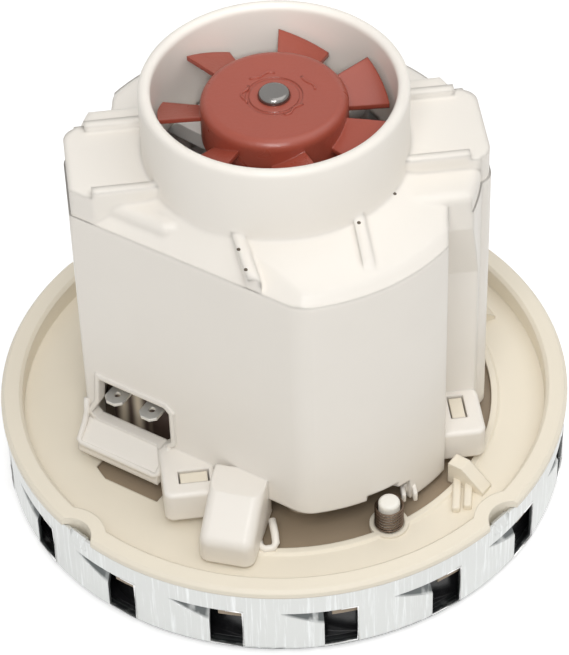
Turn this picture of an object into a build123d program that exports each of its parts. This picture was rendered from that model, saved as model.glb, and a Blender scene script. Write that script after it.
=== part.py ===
from build123d import *
import os
from math import acos, atan2, cos, degrees, hypot, pi, radians, sin, tan

# A vacuum motor unit of the bypass kind, standing on its suction face.
# A sheet metal fan casing holds a centrifugal impeller and a vaned diffuser.
# Above it a moulded bowl carries a brush motor under a latched hood, and an
# open collar on the hood lets cooling air in to a small axial fan.
# All lengths are in millimetres.
# Origin: centre of the suction face. +Z runs up the rotor, +X through the brushes.

# Shared clearances and helper lengths
overrun = 1.0
seat_gap = 0.1
air_gap = 0.6
slide_gap = 0.15

# Ball bearings with shields
lower_bearing_bore = 8.0
lower_bearing_outer = 22.0
lower_bearing_width = 7.0
upper_bearing_bore = 7.0
upper_bearing_outer = 19.0
upper_bearing_width = 6.0
bearing_ring_share = 0.26
shield_recess = 0.4
shield_thickness = 0.4
shield_gap = 0.3

# Motor, from the rotor axis outwards
shaft_core_radius = 5.0
armature_radius = 18.5
stator_bore_clearance = 0.6
stator_bore = armature_radius + stator_bore_clearance
pole_tip_thickness = 3.4
coil_depth = 4.5
yoke_inner_radius = stator_bore + pole_tip_thickness + coil_depth
yoke_thickness = 4.5
stator_radius = yoke_inner_radius + yoke_thickness
stator_flat_depth = 2.0
stator_flat = stator_radius - stator_flat_depth
post_bearing_width = 3.1
post_stop_wall = 1.9
post_inner_radius = stator_radius - post_bearing_width
post_outer_radius = stator_radius + post_stop_wall
screw_radius = 1.9
screw_clearance = 1.8
screw_circle = stator_flat + screw_clearance + screw_radius
boss_radius = 4.2

# Hood and bowl, from the motor outwards
hood_wall = 2.0
hood_air_gap = 5.6
hood_radius = screw_circle + boss_radius + hood_air_gap + hood_wall
flat_gap = 0.2
flat_distance = post_outer_radius + flat_gap + hood_wall
deck_gap = 3.5
deck_inner_radius = hood_radius + deck_gap
channel_width = 16.0
rim_inner_radius = hood_radius + channel_width
rim_wall = 5.0
rim_outer_radius = rim_inner_radius + rim_wall
rim_overhang = 0.5

# Fan casing, pressed from sheet
casing_radius = rim_outer_radius - rim_overhang
casing_sheet = 0.8
casing_inner_radius = casing_radius - casing_sheet
casing_corner = 2.4
eye_radius = 19.5
eye_corner = 0.7
bead_offset = 20.5
bead_radius = eye_radius + bead_offset
bead_width = 5.0
bead_depth = 0.5

# Impeller, and the heights that follow from it
impeller_sheet = 0.8
impeller_floor_gap = 0.5
impeller_lip_bottom = casing_sheet + impeller_floor_gap
impeller_lip_height = 3.1
impeller_throat_height = impeller_lip_bottom + impeller_lip_height
impeller_cover_rise = 2.0
impeller_rim_height = impeller_throat_height + impeller_cover_rise
impeller_outlet = 4.0
impeller_back_height = impeller_rim_height + impeller_outlet + impeller_sheet
impeller_lip_gap = 0.7
impeller_blades_count = 8
impeller_blade_thickness = 0.9
impeller_blade_inset = 1.0
impeller_blade_sweep = 62.0
impeller_blade_bow = 9.5
eye_collar_height = impeller_throat_height - impeller_sheet - air_gap
washer_radius = 9.0
washer_thickness = 1.6
nut_flats = 10.0
nut_height = 5.0
spacer_radius = 6.0

# Diffuser, moulded, between the casing and the bowl
diffuser_width = 16.7
impeller_radius = casing_inner_radius - diffuser_width
diffuser_tip_gap = 2.5
diffuser_inner_radius = impeller_radius + diffuser_tip_gap
diffuser_floor = 1.2
diffuser_vane_count = 16
diffuser_vane_thickness = 1.4
diffuser_vane_inset = 1.0
diffuser_vane_clearance = 2.0
diffuser_vane_sweep = 30.0
diffuser_vane_bow = 4.0

# Bowl, the lower housing
deck_clearance = 2.4
deck_underside = impeller_back_height + deck_clearance
deck_thickness = 2.0
deck_top = deck_underside + deck_thickness
floor_drop = 1.0
bowl_floor_top = deck_top - floor_drop
skirt_height = 5.6
skirt_drop = 2.4
skirt_wall = 1.2
rim_height = 2.0
rim_step = 0.8
casing_height = deck_underside + skirt_height
rim_top = casing_height + seat_gap + rim_height
deck_lip_height = 0.6
deck_lip_width = 1.4
crimp_bump_radius = 9.0
crimp_bump_reach = 1.3
crimp_pocket_radius = 5.4
crimp_pocket_depth = 3.0
bearing_cup_wall = 3.0
bearing_cup_floor = 1.6
shaft_hole_radius = 8.5
hub_rib_count = 8
hub_rib_thickness = 2.0
hub_rib_overlap = 1.6
hub_rib_height = 4.5
post_azimuths = (40.0, 140.0, 220.0, 320.0)
post_width = 9.0
post_stop_height = 3.0
deck_fill_depth = 6.5
deck_fill_start = 150.0
deck_fill_end = 248.0
deck_slot_width = 2.5
deck_slot_left = 6.0
deck_slot_right = 12.0
latch_gap = 0.4
latch_ledge = 0.9
latch_nose_height = 2.2
gusset_azimuths = (-42.0, 20.0, 82.0, 133.0)
gusset_width = 3.6
gusset_offset = 1.6
gusset_length = 9.4
gusset_height = 5.4

# Windows and crimped ears of the casing
window_count = 16
window_width = 7.6
window_sill = 1.3
window_start = -86.2
louvre_length = 9.5
louvre_height = 4.2
louvre_depth = 1.6
louvre_tip = 0.25
crimp_azimuths = (-142.0, -49.0, 38.0, 131.0)
crimp_width = 4.8
crimp_lift = 2.6
crimp_lean = 15.0

# Spring-loaded pin beside the hood
pin_azimuth = -67.5
pin_offset = 2.6
pin_centre_radius = hood_radius + pin_offset
pin_radius = 2.45
pin_dome = 0.9
pin_stickout = 1.1
pin_travel = 2.4
pin_cup_wall = 1.0
pin_cup_height = 0.6
pin_foot_wall = 1.15
pin_foot_floor = 1.2
spring_length = 6.9
spring_outer_radius = 3.3
spring_wire = 0.45
spring_turns = 7.25

# Rotor heights, from the lower bearing up
lower_bearing_bottom = deck_top + bearing_cup_floor
lower_bearing_top = lower_bearing_bottom + lower_bearing_width
winding_clearance = 3.8
winding_lower_length = 10.0
winding_upper_length = 6.2
stack_height = 26.0
armature_bottom = lower_bearing_top + winding_clearance + winding_lower_length
armature_top = armature_bottom + stack_height
commutator_gap = 1.0
commutator_length = 13.0
commutator_bottom = armature_top + winding_upper_length + commutator_gap
commutator_top = commutator_bottom + commutator_length
bearing_seat_gap = 4.2
bearing_seat_bottom = commutator_top + bearing_seat_gap
upper_bearing_top = bearing_seat_bottom + upper_bearing_width
shaft_stickout = 0.8
shaft_thread_radius = 3.0
shaft_dome = 1.2
armature_slots = 12
slot_mouth = 2.2
slot_width = 4.4
slot_depth = 8.0
slot_tooth_tip = 1.5
slot_clearance = 0.25
winding_shaft_gap = 1.0
winding_rim_gap = 1.9
winding_round = 2.6
commutator_radius = 11.5
commutator_bars = 24
commutator_bar_depth = 2.6
commutator_bar_gap = 0.7
commutator_riser = 1.3
commutator_riser_height = 2.2

# Stator
pole_half_angle = 55.0
pole_neck_half_width = 12.0
insulator_thickness = 1.2
insulator_inset = 0.8
insulated_bottom = armature_bottom - insulator_thickness
insulated_top = armature_top + insulator_thickness
coil_clearance = 0.3
coil_end_length = 6.4
coil_round = 1.2
coil_half_angle = 53.5

# Bearing bridge, carrying the upper bearing and the brushes
bridge_ring_height = 4.0
bridge_leg_azimuths = (45.0, 135.0, 225.0, 315.0)
bridge_leg_width = 8.0
bridge_arm_drop = 2.8
bridge_arm_depth = 4.0
bridge_arm_bottom = bearing_seat_bottom - bridge_arm_drop
bridge_arm_top = bridge_arm_bottom + bridge_arm_depth
bridge_shoulder_drop = 9.6
bridge_shoulder_inset = 8.4
bridge_cup_wall = 2.6
bridge_cup_lip = 0.6
bridge_cup_top = upper_bearing_top + bridge_cup_lip
holder_shelf_width = 12.0
screw_azimuths = (90.0, -90.0)
screw_head_radius = 3.7
screw_head_height = 2.4
screw_depth = 16.8

# Brushes and their holders
brush_height = 10.0
brush_thickness = 6.2
brush_length = 21.0
brush_riser_gap = 0.2
brush_centre = commutator_bottom + commutator_riser_height + brush_riser_gap + brush_height / 2
brush_contact_gap = 0.05
brush_tube_gap = 4.0
brush_tube_length = 27.1
brush_tube_wall = 0.5
brush_holder_wall = 1.9
brush_holder_inset = 3.5
brush_holder_length = 22.0
brush_coil_turns = 3
brush_coil_core = 0.8
brush_ribbon = 0.32
brush_coil_pitch = 0.68
brush_coil_width = 8.0

# Cooling fan on the top of the shaft
fan_lift = 2.0
fan_hub_radius = 16.0
fan_hub_height = 10.0
fan_hub_bottom = bridge_cup_top + fan_lift
fan_hub_top = fan_hub_bottom + fan_hub_height
fan_hub_wall = 1.8
fan_hub_round = 2.2
fan_boss_radius = 6.5
fan_ring_radius = 6.2
fan_ring_width = 0.8
fan_ring_depth = 0.3
fan_blade_count = 7
fan_blade_reach = 9.2
fan_tip_radius = fan_hub_radius + fan_blade_reach
fan_blade_half_angle = 13.0
fan_blade_thickness = 1.1
fan_blade_pitch = 22.0
fan_blade_lift = 4.9
fan_blade_start = 16.4
shaft_top_stickout = 1.4
shaft_top = fan_hub_top + shaft_top_stickout

# Hood, the top cover
hood_lift = 2.4
hood_bottom = deck_top + hood_lift
hood_air_lift = 5.0
hood_air_edge = hood_bottom + hood_air_lift
hood_air_start = -104.0
hood_air_end = -58.0
roof_clearance = 0.4
roof_height = bridge_arm_top + roof_clearance + hood_wall
roof_rise = 5.6
crease_height = roof_height - roof_rise
crease_step = 0.4
shoulder_width = 2.4
shoulder_height = 2.0
flat_azimuth = -129.0
flat_blend = 7.0
fan_tip_gap = 1.2
collar_wall = 2.7
collar_inner_radius = fan_tip_radius + fan_tip_gap
collar_outer_radius = collar_inner_radius + collar_wall
collar_lip = 1.9
collar_top = shaft_top + collar_lip
collar_round = 1.1
shelf_half_width = 20.5
shelf_drop = 0.8
shelf_height = roof_height - shelf_drop
shelf_round = 2.0
ear_half_width = 12.0
ear_proud = 1.0
ear_reach = hood_radius + ear_proud
ear_rise = 1.6
ear_plateau = roof_height + ear_rise
ear_ridge_rise = 1.4
ear_ridge = ear_plateau + ear_ridge_rise
ear_ridge_width = 2.2
ear_corner = 4.0
ear_ridge_end = 5.2
notch_edge_azimuth = -43.0
notch_reach = 34.4
notch_half_low = 15.0
notch_break = 18.0
notch_break_drop = 5.0
roof_rib_width = 2.6
roof_rib_height = 2.0
roof_ribs = ((-117.0, -101.5), (-57.0, -69.5))
snap_height = 8.0
snap_top = hood_bottom + snap_height
snap_round = 2.2
side_snap_inset = 2.0
side_snap_centre = -21.2
side_snap_half_width = 7.2
side_snap_root = 10.0
front_snap_step = 2.4
front_snap_centre = -25.5
front_snap_half_width = 6.0
front_snap_root = 18.0
rear_snap_azimuth = 51.0
rear_snap_step = 5.8
slot_wall = 3.6
slot_reach = 3.8
slot_length = 7.0
slot_shift = 1.2
leg_azimuth = -111.0
leg_width = 12.6
leg_length = 9.8
leg_lift = 0.8
leg_outer_height = 6.4
leg_inner_height = 12.6
leg_round = 2.4
leg_toe_round = 3.2
pin_notch_half_width = 5.0

# Terminals, and the window and chute in the hood's flat
tab_width = 4.8
tab_thickness = 0.8
tab_spacing = 9.4
tab_centre = -18.9
tab_lift = 16.4
tab_height = deck_top + tab_lift
tab_proud = 0.4
tab_seat = 3.4
tab_hole_radius = 0.8
tab_hole_inset = 2.9
tab_chamfer = 1.3
block_thickness = 3.6
block_width = 15.6
block_headroom = 0.4
block_gap = 3.0
window_left = 10.1
window_right = 11.6
window_depth = 6.8
window_rise = 6.6
window_corner = 1.4
window_shoulder = 2.8
window_lip_width = 1.2
window_lip_height = 0.6
chute_left = 11.1
chute_right = 10.7
chute_reach = 5.6
chute_drop = 0.6
chute_lip_height = 2.6
chute_wall = 1.8


def disc(radius, bottom, top):
    """A solid cylinder on the rotor axis between two heights."""
    return Pos(0, 0, (bottom + top) / 2) * Cylinder(radius, top - bottom)


def ring(outer, inner, bottom, top):
    """A tube on the rotor axis between two heights."""
    return disc(outer, bottom, top) - disc(inner, bottom - overrun, top + overrun)


def block(x_low, x_high, y_low, y_high, z_low, z_high):
    """A box between pairs of planes."""
    middle = Pos((x_low + x_high) / 2, (y_low + y_high) / 2, (z_low + z_high) / 2)
    return middle * Box(x_high - x_low, y_high - y_low, z_high - z_low)


def turned(outline):
    """Turn a closed (radius, height) outline about the rotor axis."""
    face = Plane.XZ * make_face(Polyline(*outline, close=True))
    return revolve(face, Axis.Z)


def prism(outline, bottom, top):
    """Stand a closed plan outline up between two heights."""
    face = make_face(Polyline(*outline, close=True))
    return Pos(0, 0, bottom) * extrude(face, top - bottom)


def side_cut(outline, half_width):
    """Extrude a closed (x, z) outline to both sides of the XZ plane."""
    face = Plane.XZ * make_face(Polyline(*outline, close=True))
    return extrude(face, half_width, both=True)


def polar(radius, azimuth):
    """Plan position at a radius and an azimuth in degrees."""
    return (radius * cos(radians(azimuth)), radius * sin(radians(azimuth)))


def spin(azimuth):
    """Rotation about the rotor axis."""
    return Rot(0, 0, azimuth)


def spaced(count, start=0.0):
    """Evenly spaced azimuths."""
    return [start + 360.0 * index / count for index in range(count)]


def wedge(radius, start, end, bottom, top):
    """A pie slice between two azimuths, under a half turn."""
    reach = radius / cos(radians((end - start) / 2))
    middle = (start + end) / 2
    return prism([(0, 0), polar(reach, start), polar(reach, middle), polar(reach, end)], bottom, top)


def curved_vane(inner, outer, sweep, bow, thickness, bottom, top):
    """A vane of even thickness, bowed in plan, from azimuth zero to its sweep."""
    root = Vector(inner, 0)
    tip = Vector(*polar(outer, sweep))
    chord = tip - root
    normal = Vector(-chord.Y, chord.X).normalized()
    middle = (root + tip) / 2 - normal * bow
    half = normal * (thickness / 2)
    sides = [
        ThreePointArc(root - half, middle - half, tip - half),
        Line(tip - half, tip + half),
        ThreePointArc(tip + half, middle + half, root + half),
        Line(root + half, root - half),
    ]
    return Pos(0, 0, bottom) * extrude(make_face(sides), top - bottom)


def rounded(shape, edges, radius):
    """Fillet the edges given."""
    return fillet(edges, radius) if len(edges) else shape


def circles_at(shape, radius, height, slack=0.01):
    """The circular edges about the rotor axis at one radius and height."""
    found = []
    for edge in shape.edges().filter_by(GeomType.CIRCLE):
        centre = edge.arc_center
        on_axis = hypot(centre.X, centre.Y) < slack
        if on_axis and abs(edge.radius - radius) < slack and abs(centre.Z - height) < slack:
            found.append(edge)
    return found


def group(solids):
    """Separate solids that share one node."""
    return Compound(children=list(solids))


def save(name, shape, colour):
    """Write one piece to its own file."""
    shape.label = name
    shape.color = Color(*colour)
    export_step(shape, f"parts/{name}.step")


# Colours of the plain model
ivory = (0.90, 0.87, 0.79)
white = (0.93, 0.92, 0.89)
steel = (0.70, 0.72, 0.74)
dark = (0.06, 0.06, 0.07)
red = (0.62, 0.30, 0.26)
copper = (0.72, 0.42, 0.22)
brass = (0.80, 0.66, 0.36)
sand = (0.72, 0.64, 0.50)
grey = (0.45, 0.46, 0.48)

# Snaps of the hood: turn, reach of the face, centre, half width and depth of the block
snaps = (
    (0, hood_radius - side_snap_inset, side_snap_centre, side_snap_half_width, side_snap_root),
    (180, hood_radius - side_snap_inset, side_snap_centre, side_snap_half_width, side_snap_root),
    (-90, flat_distance + front_snap_step, front_snap_centre, front_snap_half_width, front_snap_root),
    (rear_snap_azimuth, hood_radius + rear_snap_step, 0, front_snap_half_width, side_snap_root),
)


def fan_casing():
    """Pressed sheet cup with exhaust windows, louvre dents and crimped ears."""
    shell = disc(casing_radius, 0, casing_height)
    shell = rounded(shell, circles_at(shell, casing_radius, 0), casing_corner)
    hollow = disc(casing_inner_radius, casing_sheet, casing_height + overrun)
    inner_corner = casing_corner - casing_sheet
    hollow = rounded(hollow, circles_at(hollow, casing_inner_radius, casing_sheet), inner_corner)
    shell -= hollow
    shell += disc(eye_radius + casing_sheet, 0, eye_collar_height)
    shell -= disc(eye_radius, -overrun, eye_collar_height + overrun)
    shell = rounded(shell, circles_at(shell, eye_radius, 0), eye_corner)
    shell += ring(bead_radius + bead_width / 2, bead_radius - bead_width / 2, casing_sheet, casing_sheet + bead_depth)
    shell -= ring(bead_radius + bead_width / 4, bead_radius - bead_width / 4, -overrun, bead_depth)

    window_bottom = casing_sheet + window_sill
    window_top = deck_underside - seat_gap
    half_width = window_width / 2
    opening = block(
        casing_inner_radius - overrun - louvre_depth, casing_radius + overrun,
        -half_width, half_width, window_bottom, window_top,
    )
    window_angle = degrees(half_width / casing_radius)
    louvre_angle = degrees(louvre_length / casing_radius)

    def dent(skin):
        """A wedge pressed in beside a window, deepest at the window's top corner.

        With a skin it is the pushed-in metal, and without one the space outside it.
        """
        sections = []
        for angle, depth, height in (
            (window_angle, louvre_depth, louvre_height),
            (window_angle + louvre_angle, louvre_tip, louvre_tip),
        ):
            outer = casing_radius - skin / 2 if skin else casing_radius + overrun
            outline = [
                (casing_radius - depth - skin, window_top),
                (outer, window_top),
                (outer, window_top - height - skin),
                (casing_radius - skin, window_top - height - skin),
            ]
            sections.append(spin(-angle) * (Plane.XZ * make_face(Polyline(*outline, close=True))))
        return loft(sections, ruled=True)

    for azimuth in spaced(window_count, window_start):
        shell += spin(azimuth) * dent(casing_sheet)
    for azimuth in spaced(window_count, window_start):
        shell -= spin(azimuth) * dent(0)
        shell -= spin(azimuth) * opening

    gap = block(
        casing_inner_radius - overrun, casing_radius + overrun, -crimp_width / 2, crimp_width / 2,
        casing_height - crimp_lift, casing_height + overrun,
    )
    hinge_height = casing_height - crimp_lift
    flap = block(-casing_sheet, 0, -crimp_width / 2, crimp_width / 2, -casing_sheet, crimp_lift)
    ear = Pos(casing_radius, 0, hinge_height) * Rot(0, -crimp_lean, 0) * flap
    for azimuth in crimp_azimuths:
        shell -= spin(azimuth) * gap
        shell += spin(azimuth) * ear
    return shell


def diffuser():
    """Moulded ring of curved vanes that fills the space under the deck."""
    floor_bottom = casing_sheet
    corner = casing_corner - casing_sheet
    outer = casing_inner_radius - seat_gap
    body = ring(outer - corner, diffuser_inner_radius, floor_bottom, floor_bottom + diffuser_floor)
    vane = curved_vane(
        diffuser_inner_radius + diffuser_vane_inset, casing_inner_radius - diffuser_vane_clearance,
        diffuser_vane_sweep, diffuser_vane_bow, diffuser_vane_thickness, floor_bottom + diffuser_floor / 2, deck_underside,
    )
    for azimuth in spaced(diffuser_vane_count, window_start):
        body += spin(azimuth) * vane
    return body


def lower_housing():
    """Moulded bowl: rim, deck, bearing cup, stator posts, latches and ribs."""
    skirt = casing_inner_radius - seat_gap
    rim_outer = rim_outer_radius
    flange = casing_height + seat_gap
    cup_outer = lower_bearing_outer / 2 + bearing_cup_wall
    cup_top = lower_bearing_top
    lip_inner = deck_inner_radius
    lip_outer = deck_inner_radius + deck_lip_width
    outline = [
        (shaft_hole_radius, deck_underside),
        (skirt - skirt_wall, deck_underside),
        (skirt - skirt_wall, deck_underside - skirt_drop),
        (skirt, deck_underside - skirt_drop),
        (skirt, flange),
        (rim_outer, flange),
        (rim_outer, rim_top - rim_step),
        (rim_outer - rim_step, rim_top),
        (rim_inner_radius + rim_step, rim_top),
        (rim_inner_radius, rim_top - rim_step),
        (rim_inner_radius, deck_top),
        (lip_outer + deck_lip_height, deck_top),
        (lip_outer, deck_top + deck_lip_height),
        (lip_inner, deck_top + deck_lip_height),
        (lip_inner, bowl_floor_top),
        (cup_outer, bowl_floor_top),
        (cup_outer, cup_top),
        (lower_bearing_outer / 2, cup_top),
        (lower_bearing_outer / 2, lower_bearing_bottom),
        (shaft_hole_radius, lower_bearing_bottom),
    ]
    bowl = turned(outline)

    # Skirt left out behind the louvres
    window_angle = degrees(window_width / 2 / casing_radius)
    louvre_angle = degrees((louvre_length + overrun) / casing_radius)
    gap = wedge(
        casing_radius, -window_angle - louvre_angle, -window_angle / 2,
        deck_underside - skirt_drop - overrun, deck_underside,
    )
    gap &= ring(casing_radius, skirt - skirt_wall - overrun, deck_underside - skirt_drop - overrun, deck_underside)
    for azimuth in spaced(window_count, window_start):
        bowl -= spin(azimuth) * gap

    # Ribs that stiffen the bearing cup
    rib_outer = post_inner_radius + hub_rib_overlap
    rib = side_cut(
        [
            (cup_outer - overrun, bowl_floor_top - overrun),
            (rib_outer, bowl_floor_top - overrun),
            (rib_outer, bowl_floor_top + overrun),
            (cup_outer + overrun, bowl_floor_top + hub_rib_height),
            (cup_outer - overrun, bowl_floor_top + hub_rib_height),
        ],
        hub_rib_thickness / 2,
    )
    for azimuth in spaced(hub_rib_count, 360 / hub_rib_count / 2):
        bowl += spin(azimuth) * rib

    # Posts under the stator, with a stop outside its edge
    seat = insulated_bottom
    annulus = ring(post_outer_radius, post_inner_radius, bowl_floor_top - overrun, seat + post_stop_height)
    stator_space = ring(stator_radius + seat_gap, post_inner_radius - overrun, seat, seat + 2 * post_stop_height)
    for azimuth in post_azimuths:
        column = block(0, post_outer_radius + overrun, -post_width / 2, post_width / 2, 0, seat + post_stop_height)
        bowl += (annulus & (spin(azimuth) * column)) - stator_space

    # Bosses for the long screws
    for azimuth in screw_azimuths:
        place = Pos(*polar(screw_circle, azimuth), 0)
        boss = place * disc(boss_radius, bowl_floor_top - overrun, seat)
        bowl += boss - ring(post_outer_radius + boss_radius + overrun, screw_circle + boss_radius, 0, seat)
        bowl -= place * disc(screw_radius, insulated_bottom - screw_depth, seat + overrun)

    # Deck brought in to the hood on the terminal side, with a slot under the chute
    fill = wedge(2 * rim_inner_radius, deck_fill_start, deck_fill_end, deck_underside, deck_top)
    fill &= ring(lip_outer + 2 * deck_lip_height, lip_inner - deck_fill_depth, deck_underside, deck_top)
    slot = block(
        0, flat_distance + chute_reach + deck_slot_width,
        tab_centre - deck_slot_left, tab_centre + deck_slot_right,
        0, deck_top + overrun,
    )
    bead = ring(lip_outer + 2 * deck_lip_height, lip_inner - overrun, deck_top, rim_top)
    bowl -= bead & wedge(rim_inner_radius, deck_fill_start, deck_fill_end, deck_top, rim_top)
    bowl += fill - spin(flat_azimuth) * slot

    # Latches that hold the hood
    for turn, reach, centre, _, _ in snaps:
        back = reach - slot_wall - slot_reach + latch_gap
        face = reach - slot_wall - latch_ledge - latch_gap
        top = snap_top - latch_gap
        profile = [
            (back, bowl_floor_top - overrun),
            (face, bowl_floor_top - overrun),
            (face, top - latch_nose_height),
            (reach - slot_wall - latch_gap, top - latch_nose_height),
            (reach - slot_wall - latch_gap, top),
            (back, top),
        ]
        arm = side_cut(profile, slot_length / 2 - latch_gap)
        bowl += spin(turn) * Pos(0, centre + slot_shift, 0) * arm

    # Gussets on the deck
    gusset_start = hood_radius + gusset_offset
    gusset = side_cut(
        [
            (gusset_start, bowl_floor_top - overrun / 2),
            (gusset_start + gusset_length, deck_top - overrun / 2),
            (gusset_start + gusset_length, deck_top + rim_step),
            (gusset_start + gusset_width, deck_top + gusset_height),
            (gusset_start, deck_top + gusset_height),
        ],
        gusset_width / 2,
    )
    for azimuth in gusset_azimuths:
        bowl += spin(azimuth) * gusset

    # Cup for the spring-loaded pin
    place = Pos(*polar(pin_centre_radius, pin_azimuth), 0)
    cup_radius = spring_outer_radius + slide_gap + pin_cup_wall
    bowl += place * disc(cup_radius, bowl_floor_top - overrun / 2, deck_top + pin_cup_height)
    bowl += place * disc(pin_radius + pin_foot_wall, deck_underside - pin_foot_floor, deck_top)
    bowl -= place * disc(spring_outer_radius + slide_gap, deck_top, deck_top + 2 * pin_cup_height)
    bowl -= place * disc(pin_radius + slide_gap, deck_underside, deck_top + overrun)

    # Crimp pockets in the rim, each with a bump on the inner wall
    for azimuth in crimp_azimuths:
        centre = rim_inner_radius - crimp_bump_reach + crimp_bump_radius
        bump = Pos(centre, 0, 0) * disc(crimp_bump_radius, deck_top - overrun / 2, rim_top)
        bump &= disc(rim_inner_radius + rim_step, 0, rim_top)
        bowl += spin(azimuth) * bump
        centre = rim_outer - crimp_pocket_depth + crimp_pocket_radius
        pocket = Pos(centre, 0, 0) * disc(crimp_pocket_radius, casing_height - crimp_lift - overrun, rim_top + overrun)
        bowl -= spin(azimuth) * pocket

    bowl = rounded(bowl, circles_at(bowl, cup_outer, cup_top), rim_step)
    return bowl


def bearing(bore, outer, width, bottom):
    """Outer ring with its two shields, and the inner ring."""
    section = (outer - bore) / 2
    inner_face = bore / 2 + section * bearing_ring_share
    outer_face = outer / 2 - section * bearing_ring_share
    top = bottom + width
    case = ring(outer / 2, outer_face, bottom, top)
    shield_inner = inner_face + shield_gap
    low = bottom + shield_recess
    high = top - shield_recess
    case += ring(outer_face + overrun / 2, shield_inner, low, low + shield_thickness)
    case += ring(outer_face + overrun / 2, shield_inner, high - shield_thickness, high)
    return case, ring(inner_face, bore / 2, bottom, top)


def shaft():
    """Stepped steel shaft with a threaded lower end and a domed top."""
    lower_radius = lower_bearing_bore / 2
    upper_radius = upper_bearing_bore / 2
    nut_bottom = impeller_back_height - impeller_sheet - washer_thickness - nut_height
    body = disc(shaft_thread_radius, nut_bottom - shaft_stickout, impeller_back_height)
    body += disc(lower_radius, impeller_back_height - impeller_sheet, lower_bearing_top)
    body += disc(shaft_core_radius, lower_bearing_top, bearing_seat_bottom)
    body += disc(upper_radius, bearing_seat_bottom, shaft_top)
    body = rounded(body, circles_at(body, upper_radius, shaft_top), shaft_dome)
    return body


def slot_outline(clearance):
    """Plan outline of one armature slot, lying along +X."""
    mouth = slot_mouth / 2 - clearance
    half = slot_width / 2 - clearance
    slot_bottom = armature_radius - slot_depth
    tooth = armature_radius - slot_tooth_tip
    return [
        (slot_bottom + clearance, -mouth),
        (slot_bottom + slot_tooth_tip, -half / 2 - mouth / 2),
        (tooth - slot_tooth_tip, -half),
        (tooth - clearance, -mouth),
        (tooth - clearance, mouth),
        (tooth - slot_tooth_tip, half),
        (slot_bottom + slot_tooth_tip, half / 2 + mouth / 2),
        (slot_bottom + clearance, mouth),
    ]


def armature():
    """Slotted stack of laminations, and the winding that fills it."""
    core = ring(armature_radius, shaft_core_radius, armature_bottom, armature_top)
    slot = prism(slot_outline(0), armature_bottom - overrun, armature_top + overrun)
    mouth = block(
        armature_radius - 2 * slot_tooth_tip, armature_radius + overrun, -slot_mouth / 2, slot_mouth / 2,
        armature_bottom - overrun, armature_top + overrun,
    )
    for azimuth in spaced(armature_slots):
        core -= spin(azimuth) * slot
        core -= spin(azimuth) * mouth
    winding = None
    outer = armature_radius - winding_rim_gap
    spans = (
        (armature_bottom - winding_lower_length, armature_bottom),
        (armature_top, armature_top + winding_upper_length),
    )
    for bottom, top in spans:
        bundle = ring(outer, shaft_core_radius + winding_shaft_gap, bottom, top)
        far = bottom if top <= armature_bottom else top
        bundle = rounded(bundle, circles_at(bundle, outer, far), winding_round)
        winding = bundle if winding is None else winding + bundle
    filling = prism(slot_outline(slot_clearance), armature_bottom - overrun / 2, armature_top + overrun / 2)
    for azimuth in spaced(armature_slots):
        winding += spin(azimuth) * filling
    return core, winding


def commutator():
    """Moulded hub, and the ring of copper bars round it."""
    bar_inner = commutator_radius - commutator_bar_depth
    hub = ring(bar_inner, shaft_core_radius, commutator_bottom, commutator_top)
    outline = [
        (bar_inner, commutator_bottom),
        (commutator_radius + commutator_riser, commutator_bottom),
        (commutator_radius + commutator_riser, commutator_bottom + commutator_riser_height),
        (commutator_radius, commutator_bottom + commutator_riser_height),
        (commutator_radius, commutator_top - overrun / 2),
        (bar_inner, commutator_top - overrun / 2),
    ]
    band = turned(outline)
    step = 360.0 / commutator_bars
    half_gap = commutator_bar_gap / 2
    reach = commutator_radius + 2 * commutator_riser
    edge = half_gap / sin(radians(step / 2))
    slice_outline = [
        (edge, 0),
        (reach * cos(radians(step / 2)) + half_gap, -reach * sin(radians(step / 2)) + half_gap),
        (reach * cos(radians(step / 2)) + half_gap, reach * sin(radians(step / 2)) - half_gap),
    ]
    bar = band & prism(slice_outline, commutator_bottom - overrun, commutator_top + overrun)
    bars = [(spin(azimuth) * bar).solid() for azimuth in spaced(commutator_bars)]
    return hub, group(bars)


def impeller():
    """Front plate with its eye, curved blades, and back plate."""
    lip_inner = eye_radius + casing_sheet + impeller_lip_gap
    lip_outer = lip_inner + impeller_sheet
    front = turned(
        [
            (lip_inner, impeller_lip_bottom),
            (lip_outer, impeller_lip_bottom),
            (lip_outer, impeller_throat_height - impeller_sheet),
            (impeller_radius, impeller_rim_height - impeller_sheet),
            (impeller_radius, impeller_rim_height),
            (lip_inner, impeller_throat_height),
        ]
    )
    under_blades = turned(
        [
            (0, 0),
            (impeller_radius + overrun, 0),
            (impeller_radius + overrun, impeller_rim_height),
            (impeller_radius, impeller_rim_height),
            (lip_inner, impeller_throat_height),
            (0, impeller_throat_height),
        ]
    )
    back = ring(
        impeller_radius, lower_bearing_bore / 2, impeller_back_height - impeller_sheet, impeller_back_height
    )
    blade = curved_vane(
        lip_outer + impeller_blade_inset, impeller_radius - impeller_sheet, impeller_blade_sweep,
        -impeller_blade_bow,
        impeller_blade_thickness, impeller_throat_height - overrun, impeller_back_height - impeller_sheet,
    )
    blade = blade - under_blades
    blades = [(spin(azimuth) * blade).solid() for azimuth in spaced(impeller_blades_count)]
    return front, group(blades), back


def impeller_fasteners():
    """Spacer above the impeller, washer and nut below it."""
    thread = shaft_thread_radius
    spacer = ring(spacer_radius, lower_bearing_bore / 2, impeller_back_height, lower_bearing_bottom)
    washer_top = impeller_back_height - impeller_sheet
    washer = ring(washer_radius, thread, washer_top - washer_thickness, washer_top)
    nut_top = washer_top - washer_thickness
    hexagon = RegularPolygon(nut_flats / 2, 6, major_radius=False)
    nut = Pos(0, 0, nut_top - nut_height) * extrude(hexagon, nut_height)
    nut -= disc(thread, nut_top - 2 * nut_height, nut_top + overrun)
    return spacer, washer, nut


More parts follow.
